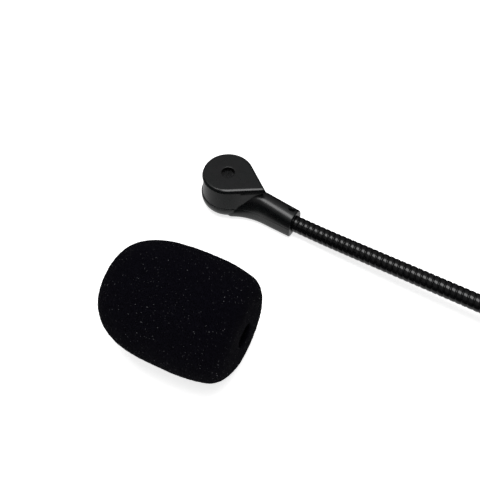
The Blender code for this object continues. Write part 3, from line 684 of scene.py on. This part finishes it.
# ---- gooseneck
def gooseneck_course():
    """Close points along the gooseneck's smooth centre line, and the distance of each link's middle."""
    first = Vector((TUBE_START, BENDS[0].y, BENDS[0].z))
    last = Vector((TUBE_END, BENDS[-1].y, BENDS[-1].z))
    middles = [(a + b) / 2 for a, b in zip(BENDS, BENDS[1:])]
    stops = [first] + middles + [last]
    steps = 60
    points, marks, travelled = [first], [], 0.0
    for bend, start, stop in zip(BENDS, stops, stops[1:]):
        for t in (i / steps for i in range(1, steps + 1)):
            point = start * (1 - t) ** 2 + bend * 2 * t * (1 - t) + stop * t * t
            travelled += (point - points[-1]).length
            points.append(point)
        marks.append(travelled)
    return points, marks


class Course:
    """The centre line measured by distance along it."""

    def __init__(self):
        self.points, self.marks = gooseneck_course()
        self.distances = [0.0]
        for a, b in zip(self.points, self.points[1:]):
            self.distances.append(self.distances[-1] + (b - a).length)
        self.length = self.distances[-1]
        self.at = 0

    def place(self, distance):
        """The point at a distance, and the directions forward, sideways and up there."""
        distance = min(max(distance, 0.0), self.length)
        while self.at > 0 and self.distances[self.at] > distance:
            self.at -= 1
        while self.at < len(self.points) - 2 and self.distances[self.at + 1] < distance:
            self.at += 1
        a, b = self.points[self.at], self.points[self.at + 1]
        passed, next_distance = self.distances[self.at], self.distances[self.at + 1]
        share = (distance - passed) / (next_distance - passed)
        forward = (b - a).normalized()
        side = UP.cross(forward).normalized()
        return a.lerp(b, share), forward, side, forward.cross(side)


def coil(name, course, start, end, section):
    """A wire wound round the course. Its section is (outwards, along) points measured from the axis."""
    count = max(4, round((end - start) / WIRE_PITCH * TURN_STEPS))
    rings = []
    for i in range(count + 1):
        distance = start + (end - start) * i / count
        angle = 2 * pi * distance / WIRE_PITCH
        ring = []
        for outwards, forwards in section:
            centre, _, side, up = course.place(distance + forwards)
            ring.append(centre + (side * cos(angle) + up * sin(angle)) * outwards)
        rings.append(ring)
    return smooth(skin(name, rings), 50.0)


def round_section():
    """The main wire, wider along the gooseneck than it is deep, with a flattened crown."""
    middle_radius, points, power = TUBE_RADIUS - WIRE_HALF_DEPTH, 20, 2 / WIRE_FULLNESS
    section = []
    for a in (2 * pi * i / points for i in range(points)):
        out, over = cos(a), sin(a)
        section.append((middle_radius + copysign(WIRE_HALF_DEPTH * abs(out) ** power, out),
                        copysign(WIRE_HALF_WIDTH * abs(over) ** power, over)))
    return section


def filler_section():
    """A thin wire pressed into the groove between the main wire's turns."""
    shift = WIRE_PITCH / 2
    half_outline = [(0.13, 0.0), (0.15, 0.09), (0.24, 0.13), (0.50, 0.10), (0.95, 0.0)]
    outline = half_outline + [(depth, -half) for depth, half in half_outline[-2:0:-1]]
    return [(TUBE_RADIUS - depth * MM, shift + half * MM) for depth, half in outline]


def cable_rings(course, start, end):
    count = max(4, round((end - start) / MM))
    rings = []
    for i in range(count + 1):
        centre, _, side, up = course.place(start + (end - start) * i / count)
        rings.append([centre + (side * cos(a) + up * sin(a)) * CABLE_RADIUS
                      for a in (2 * pi * k / 20 for k in range(20))])
    return rings


def make_gooseneck():
    """A stretch of wires and cable for each bend, from the middle of one link to that of the next."""
    course = Course()
    starts = [0.0] + course.marks[:-1]
    margin = 1.4 * MM  # a turn reaches this far past its middle
    neck_end = Vector((HEAD.x + NECK_END, BENDS[0].y, BENDS[0].z))
    collar_start = Vector((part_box("base_collar")[0].x, BENDS[-1].y, BENDS[-1].z))
    for number, (start, end, (parent, child)) in enumerate(zip(starts, course.marks, BEND_BODIES), 1):
        nodes = ["gooseneck_link_%02d" % number] if number < len(BENDS) else ["gooseneck_base_end"]
        cables = ["signal_cable_%02d" % number] if number < len(BENDS) else ["signal_cable_base"]
        if number == 1:
            nodes.append("gooseneck_head_end")
            cables.append("signal_cable_head")
        bend_start = neck_end if number == 1 else course.place(start + margin)[0]
        bend_end = collar_start if number == len(BENDS) else course.place(end - margin)[0]
        round_wire = coil("gooseneck_round_wire_%02d" % number, course, start, end, round_section())
        filler_wire = coil("gooseneck_filler_wire_%02d" % number, course, start, end, filler_section())
        cable = smooth(skin("signal_cable_run_%02d" % number, cable_rings(course, start, end)), 50.0)
        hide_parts(*nodes)
        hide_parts(*cables)
        pieces = ((round_wire, "gooseneck_wire", "wire"), (filler_wire, "gooseneck_wire", "wire"),
                  (cable, "cable_sheath", "sheath"))
        for piece, slot, look in pieces:
            piece.data.materials.append(LOOKS[look])
            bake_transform(piece)


# ---- windscreen
FOAM_NOSE_POWER = 3.05
FOAM_WIDEST = 0.624  # share of the length at which the foam is thickest
FOAM_MOUTH_SIZE = 0.8325  # size at the mouth end against the thickest place, before rounding
FOAM_CORNER = 5.3 * MM
FOAM_SIDES = 260
POCKET_RADIUS = 6.8 * MM
MOUTH_RADIUS = 3.0 * MM  # the relaxed foam closes in a little round the pocket's mouth
POCKET_DEPTH = 31.0 * MM
THROAT_DEPTH = 6.0 * MM  # where the pocket reaches its full width
LIP_ROUNDING = 2.2 * MM


def foam_radius(distance, length, radius):
    """Outer radius of the foam at a distance from its closed end."""
    widest = length * FOAM_WIDEST
    if distance < widest:
        return radius * (1.0 - (1.0 - distance / widest) ** FOAM_NOSE_POWER) ** (1.0 / FOAM_NOSE_POWER)
    share = (distance - widest) / (length - widest)
    size = radius - (radius - radius * FOAM_MOUTH_SIZE) * share ** 2
    into_corner = distance - (length - FOAM_CORNER)
    if into_corner > 0.0:
        size -= FOAM_CORNER - sqrt(max(FOAM_CORNER ** 2 - into_corner ** 2, 0.0))
    return size


def make_windscreen():
    """The foam cover, turned about its own axis from the closed end to the mouth."""
    pull = next(joint for joint in frame["joints"] if joint["type"] == "slide")
    heading = -Vector(pull["axis"]).normalized()
    points = [vert.co.copy() for vert in frame["nodes"]["foam_windscreen"].data.vertices]
    nose = min(points, key=lambda point: point.dot(heading))
    length = max(point.dot(heading) for point in points) - nose.dot(heading)
    radius = nose.z
    nose_steps, side_steps, corner_steps, rim_steps, quarter = 56, 34, 16, 10, pi / 2
    widest, side_end = length * FOAM_WIDEST, length - FOAM_CORNER
    nose_run = [widest * (1.0 - cos(quarter * i / nose_steps)) for i in range(1, nose_steps + 1)]
    side_run = [widest + (side_end - widest) * i / side_steps for i in range(1, side_steps + 1)]
    corner_run = [length - FOAM_CORNER * (1.0 - sin(quarter * i / corner_steps))
                  for i in range(1, corner_steps + 1)]
    profile = [(0.0, 0.0)]
    profile += [(foam_radius(d, length, radius), d) for d in nose_run + side_run + corner_run]
    rim, lip_start, pocket_end = profile[-1][0], MOUTH_RADIUS + 2 * LIP_ROUNDING, length - POCKET_DEPTH
    profile += [(rim + (lip_start - rim) * i / rim_steps, length) for i in range(1, rim_steps)]
    profile += rounded([(lip_start, length, 0.0), (MOUTH_RADIUS, length, LIP_ROUNDING),
                        (POCKET_RADIUS, length - THROAT_DEPTH, LIP_ROUNDING),
                        (POCKET_RADIUS, pocket_end, 3.0 * MM), (0.0, pocket_end, 0.0)], steps=8)
    foam = turned("foam_cover", profile, FOAM_SIDES, along(nose, heading))
    roughen(foam)
    smooth(foam, 80.0)
    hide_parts("foam_windscreen")
    finish_piece(foam, "windscreen", "foam")


def roughen(foam):
    """Open-cell foam: soft lumps, cell-sized pits, and a flat where it rests on the table."""
    shift, inwards, table_clearance = Vector((7.0, 3.0, 1.0)), 0.12, 0.05 * MM
    mesh = foam.data
    normals = [vert.normal.copy() for vert in mesh.vertices]
    for vert, normal in zip(mesh.vertices, normals):
        place = vert.co / MM
        lumps = noise.noise(place * 0.11) * 0.16
        cells = noise.noise(place * 1.3) * 0.11 + noise.noise(place * 2.7 + shift) * 0.07
        vert.co += normal * (lumps + cells - inwards) * MM
        vert.co.z = max(vert.co.z, table_clearance)
    mesh.update()


# ---- looks
NOISE_MIDDLE = (0.3, 0.7)  # most of a noise texture's values lie between these


def new_look(name, colour, roughness, metallic=0.0):
    """A material with uniform values on its shader, which the nodes added later vary."""
    material = bpy.data.materials.new(name)
    material.use_nodes = True
    shader = shader_of(material)
    shader.inputs["Base Color"].default_value = (*colour, 1.0)
    shader.inputs["Roughness"].default_value = roughness
    shader.inputs["Metallic"].default_value = metallic
    return material


def add_node(material, kind, **values):
    node = material.node_tree.nodes.new(kind)
    for key, value in values.items():
        if key in node.inputs:
            node.inputs[key].default_value = value
        else:
            setattr(node, key, value)
    return node


def wire_up(material, source, output, target, socket):
    material.node_tree.links.new(source.outputs[output], target.inputs[socket])


def noise_node(material, size, detail=3.0):
    """Noise whose features are about size metres across, in the object's own space."""
    place = add_node(material, "ShaderNodeTexCoord")
    texture = add_node(material, "ShaderNodeTexNoise", Scale=1.0 / size, Detail=detail)
    wire_up(material, place, "Object", texture, "Vector")
    return texture


def shader_of(material):
    return material.node_tree.nodes["Principled BSDF"]


def spread_out(material, texture, start, end, low, high):
    """Turn a texture's values from start to end into low to high."""
    spread = add_node(material, "ShaderNodeMapRange")
    for socket, value in (("From Min", start), ("From Max", end), ("To Min", low), ("To Max", high)):
        spread.inputs[socket].default_value = value
    wire_up(material, texture, "Fac", spread, "Value")
    return spread


def vary_roughness(material, texture, low, high):
    spread = spread_out(material, texture, *NOISE_MIDDLE, low, high)
    wire_up(material, spread, "Result", shader_of(material), "Roughness")


def colour_ramp(material, texture, output, positions, colours):
    """Run a texture's values through two colours."""
    ramp = add_node(material, "ShaderNodeValToRGB")
    for element, position, colour in zip(ramp.color_ramp.elements, positions, colours):
        element.position = position
        element.color = (*colour, 1.0)
    wire_up(material, texture, output, ramp, "Fac")
    return ramp


def tint(material, texture, dark, light):
    """Run a texture from a dark to a light colour on the shader's base colour."""
    ramp = colour_ramp(material, texture, "Fac", NOISE_MIDDLE, (dark, light))
    wire_up(material, ramp, "Color", shader_of(material), "Base Color")


def bump(material, texture, output, depth):
    """Raise the surface by a texture, depth metres at most."""
    relief = add_node(material, "ShaderNodeBump", Strength=1.0, Distance=depth)
    wire_up(material, texture, output, relief, "Height")
    wire_up(material, relief, "Normal", shader_of(material), "Normal")
    return relief


def scaled(colour, factor):
    return tuple(min(1.0, part * factor) for part in colour)


def plain_look(name, colour, roughness, metallic, grain, depth, patch=5.0, spread=0.12):
    """Fine grain of a depth, and slow changes of tone and gloss in patches, all in millimetres."""
    material = new_look(name, colour, roughness, metallic)
    slow = noise_node(material, patch * MM)
    tint(material, slow, scaled(colour, 1.0 - spread), scaled(colour, 1.0 + spread))
    vary_roughness(material, slow, roughness - 0.04, roughness + 0.04)
    bump(material, noise_node(material, grain * MM, 2.0), "Fac", depth * MM)
    return material


def housing_look():
    """Near-black satin plastic, with a faint cool tint in places."""
    material = new_look("housing_plastic", (0.003, 0.0035, 0.004), 0.27)
    slow = noise_node(material, 7.0 * MM, 2.0)
    tint(material, slow, (0.0034, 0.0031, 0.0038), (0.0026, 0.0040, 0.0041))
    vary_roughness(material, noise_node(material, 2.5 * MM, 4.0), 0.25, 0.31)
    bump(material, noise_node(material, 0.18 * MM, 2.0), "Fac", 0.002 * MM)
    return material


def wire_look():
    """The gooseneck's glossy black coating."""
    material = new_look("gooseneck_coating", (0.010, 0.010, 0.011), 0.16)
    tint(material, noise_node(material, 3.0 * MM, 3.0), (0.0020, 0.0020, 0.0023), (0.0036, 0.0036, 0.0040))
    vary_roughness(material, noise_node(material, 0.9 * MM, 3.0), 0.06, 0.11)
    shader_of(material).inputs["Specular IOR Level"].default_value = 0.4
    bump(material, noise_node(material, 0.25 * MM, 2.0), "Fac", 0.004 * MM)
    return material


MIX_FIRST, MIX_SECOND, MIX_RESULT = 6, 7, 2  # a mix node's colour sockets, which share their names


def foam_look():
    """Black open-cell foam: pores painted darker than the struts as painted shade, and painted glints on a
    few struts.
    """
    material = new_look("windscreen_foam", (0.003, 0.003, 0.003), 1.0)
    place = add_node(material, "ShaderNodeTexCoord")
    cells = add_node(material, "ShaderNodeTexVoronoi", Scale=1.0 / (0.55 * MM))
    cells.feature = "DISTANCE_TO_EDGE"
    wire_up(material, place, "Object", cells, "Vector")
    # Painted shade: the pores get a darker colour than the struts, standing in for the shade inside the
    # foam's cells.
    strut, shaded_pore = (0.0036, 0.0033, 0.0058), (0.0012, 0.0010, 0.0021)
    ramp = colour_ramp(material, cells, "Distance", (0.02, 0.22), (strut, shaded_pore))
    # Painted glints: where a fine noise runs high, a much lighter colour is mixed into the base colour,
    # standing in for highlights on a few struts.
    painted_glints = spread_out(material, noise_node(material, 0.45 * MM, 1.0), 0.725, 0.785, 0.0, 1.0)
    glint_mix = add_node(material, "ShaderNodeMix", data_type="RGBA")
    glint_mix.inputs[MIX_SECOND].default_value = (0.14, 0.14, 0.15, 1.0)
    wire_up(material, painted_glints, "Result", glint_mix, "Factor")
    wire_up(material, ramp, "Color", glint_mix, MIX_FIRST)
    wire_up(material, glint_mix, MIX_RESULT, shader_of(material), "Base Color")
    shader_of(material).inputs["Specular IOR Level"].default_value = 0.03
    bump(material, cells, "Distance", 0.25 * MM).invert = True
    return material


LEAD = (0.42, 0.0, 0.3, 0.005, 2.0)  # a thin wire's insulation
PLAIN_LOOKS = {
    "metal": ("black_anodised", (0.018, 0.018, 0.019), 0.36, 0.6, 0.15, 0.004),
    "steel": ("blackened_steel", (0.10, 0.10, 0.11), 0.34, 1.0, 0.12, 0.004, 1.0),
    "silver": ("silver_plate", (0.80, 0.78, 0.74), 0.20, 1.0, 0.2, 0.002, 1.5, 0.06),
    "can": ("capsule_aluminium", (0.72, 0.73, 0.74), 0.32, 1.0, 0.1, 0.002, 2.0, 0.05),
    "felt": ("black_felt", (0.012, 0.012, 0.012), 0.95, 0.0, 0.15, 0.08, 1.0, 0.5),
    "rubber": ("black_rubber", (0.020, 0.020, 0.020), 0.75, 0.0, 0.3, 0.01),
    "screen": ("woven_steel", (0.012, 0.012, 0.013), 0.42, 0.2, 0.1, 0.005, 0.8, 0.3),
    "board": ("board_lacquer", (0.02, 0.12, 0.05), 0.35, 0.0, 0.5, 0.01, 2.0, 0.2),
    "case": ("component_epoxy", (0.03, 0.03, 0.033), 0.5, 0.0, 0.2, 0.01),
    "insert": ("glass_filled_nylon", (0.028, 0.028, 0.031), 0.42, 0.0, 0.3, 0.008),
    "sheath": ("cable_jacket", (0.03, 0.03, 0.033), 0.5, 0.0, 0.3, 0.01),
    "lead_white": ("white_insulation", (0.75, 0.75, 0.72), *LEAD, 0.05),
    "lead_red": ("red_insulation", (0.55, 0.04, 0.03), *LEAD, 0.08),
    "lead_yellow": ("yellow_insulation", (0.70, 0.52, 0.05), *LEAD, 0.08),
}
LOOKS = {"housing": housing_look(), "wire": wire_look(), "foam": foam_look()}
LOOKS.update({look: plain_look(*row) for look, row in PLAIN_LOOKS.items()})


def finish_piece(piece, body, look):
    piece.data.materials.clear()
    piece.data.materials.append(LOOKS[look])
    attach(piece, body)


CARRIED_LOOKS = {
    "capsule_can": "can", "capsule_felt": "felt", "capsule_boot": "rubber", "capsule_board": "board",
    "capsule_lead_red": "lead_red", "capsule_lead_white": "lead_white", "preamp_board": "board",
    "preamp_chip": "case", "preamp_capacitor_1": "can", "preamp_capacitor_2": "can",
    "pin_lead_1": "lead_white", "pin_lead_2": "lead_red", "pin_lead_3": "lead_yellow",
}


def dress_carried_nodes():
    for node, look in CARRIED_LOOKS.items():
        item = frame["nodes"][node]
        for slot in item.material_slots:
            slot.material = LOOKS[look]


# ---- studio
def glow(material, strength):
    """Let a pale studio surface shine a little, so that it comes out white."""
    shader = shader_of(material)
    shader.inputs["Emission Color"].default_value = (1.0, 1.0, 1.0, 1.0)
    shader.inputs["Emission Strength"].default_value = strength
    return material


def make_floor():
    """The white table that the microphone lies on."""
    half, top, bottom = 6.0, -0.02 * MM, -20.0 * MM
    floor = block("table", (-half, -half, bottom), (half, half, top))
    material = plain_look("white_table", (0.88, 0.88, 0.88), 0.6, 0.0, 2.0, 0.0, 400.0, 0.01)
    floor.data.materials.append(glow(material, 0.75))
    floor.visible_glossy = False  # glossy pieces mirror the studio below instead


def make_backdrop():
    """A pale dome far round the object, which only the camera sees."""
    radius, steps = 7.0, 24
    profile = [(radius * sin(pi * i / steps), -radius * cos(pi * i / steps))
               for i in range(steps + 1)]
    dome = smooth(turned("studio_dome", profile, 48))
    dome.data.materials.append(glow(new_look("pale_backdrop", (0.9, 0.9, 0.9), 1.0), 0.95))
    for rays in ("diffuse", "glossy", "transmission", "shadow", "volume_scatter"):
        setattr(dome, "visible_" + rays, False)


def softbox(name, azimuth, elevation, distance, width, height, watts):
    """An area light aimed at the head. Azimuth 0 is in front, and grows to the right."""
    turn, lift = radians(azimuth), radians(elevation)
    back = Vector((sin(turn) * cos(lift), -cos(turn) * cos(lift), sin(lift)))
    data = bpy.data.lights.new(name, "AREA")
    data.shape = "RECTANGLE"
    data.size = width
    data.size_y = height
    data.energy = watts
    item = new_piece(name, data)
    item.location = HEAD + back * distance
    item.rotation_euler = (-back).to_track_quat("-Z", "Y").to_euler()


def make_world():
    """A dark studio, lit from above by a wide soft glow and from below by a pale one.

    Each stop is the height of a direction, from -1 straight down to 1 straight up, and its level.
    """
    world = bpy.data.worlds.new("studio")
    world.use_nodes = True
    tree = world.node_tree
    place = tree.nodes.new("ShaderNodeTexCoord")
    parts = tree.nodes.new("ShaderNodeSeparateXYZ")
    ramp = tree.nodes.new("ShaderNodeValToRGB")
    shift = tree.nodes.new("ShaderNodeMath")
    shift.operation = "MULTIPLY_ADD"
    shift.inputs[1].default_value = 0.5
    shift.inputs[2].default_value = 0.5
    tree.links.new(place.outputs["Generated"], parts.inputs["Vector"])
    tree.links.new(parts.outputs["Z"], shift.inputs[0])
    tree.links.new(shift.outputs["Value"], ramp.inputs["Fac"])
    tree.links.new(ramp.outputs["Color"], tree.nodes["Background"].inputs["Color"])
    stops = ((-0.64, 0.72), (-0.50, 0.012), (0.10, 0.02), (0.50, 0.20), (0.80, 0.27), (0.92, 0.85))
    elements = ramp.color_ramp.elements
    while len(elements) < len(stops):
        elements.new(0.5)
    for element, (height, level) in zip(elements, stops):
        element.position = (height + 1) / 2
        element.color = (level, level, level, 1.0)
    bpy.context.scene.world = world


CAMERA_AZIMUTH = radians(32.48)
CAMERA_ELEVATION = radians(52.89)
CAMERA_DISTANCE = 0.2982
CAMERA_LENS = 59.9
CAMERA_AIM_HEIGHT = 3.7 * MM
CAMERA_SHIFT_RIGHT = 4.28 * MM  # how far the camera aims past the head, across its own view
CAMERA_SHIFT_DOWN = 17.53 * MM


def make_camera():
    """Looks down on the head, with the head a little above and left of the middle of the frame."""
    sine, cosine = sin(CAMERA_ELEVATION), cos(CAMERA_ELEVATION)
    back = Vector((sin(CAMERA_AZIMUTH) * cosine, -cos(CAMERA_AZIMUTH) * cosine, sine))
    right = Vector((cos(CAMERA_AZIMUTH), sin(CAMERA_AZIMUTH), 0.0))
    up = back.cross(right)
    aim = HEAD + UP * CAMERA_AIM_HEIGHT + right * CAMERA_SHIFT_RIGHT - up * CAMERA_SHIFT_DOWN
    data = bpy.data.cameras.new("camera")
    data.lens = CAMERA_LENS
    data.sensor_width = 36.0
    data.clip_start = 0.01
    camera = new_piece("camera", data)
    camera.matrix_world = Matrix.Translation(aim + back * CAMERA_DISTANCE) @ Matrix(
        (right, up, back)).transposed().to_4x4()
    bpy.context.scene.camera = camera


make_lid()
make_upper_shell()
make_lower_shell()
make_port_screen("front", FRONT_SCREEN_RADIUS)
make_port_screen("rear", REAR_SCREEN_RADIUS)
make_screws()
make_base()
make_gooseneck()
make_windscreen()
dress_carried_nodes()
make_floor()
make_backdrop()
softbox("overhead_softbox", azimuth=-10.0, elevation=86.0, distance=1.0, width=0.75, height=0.54, watts=5.9)
make_world()
make_camera()
bpy.context.scene.view_settings.view_transform = "Standard"
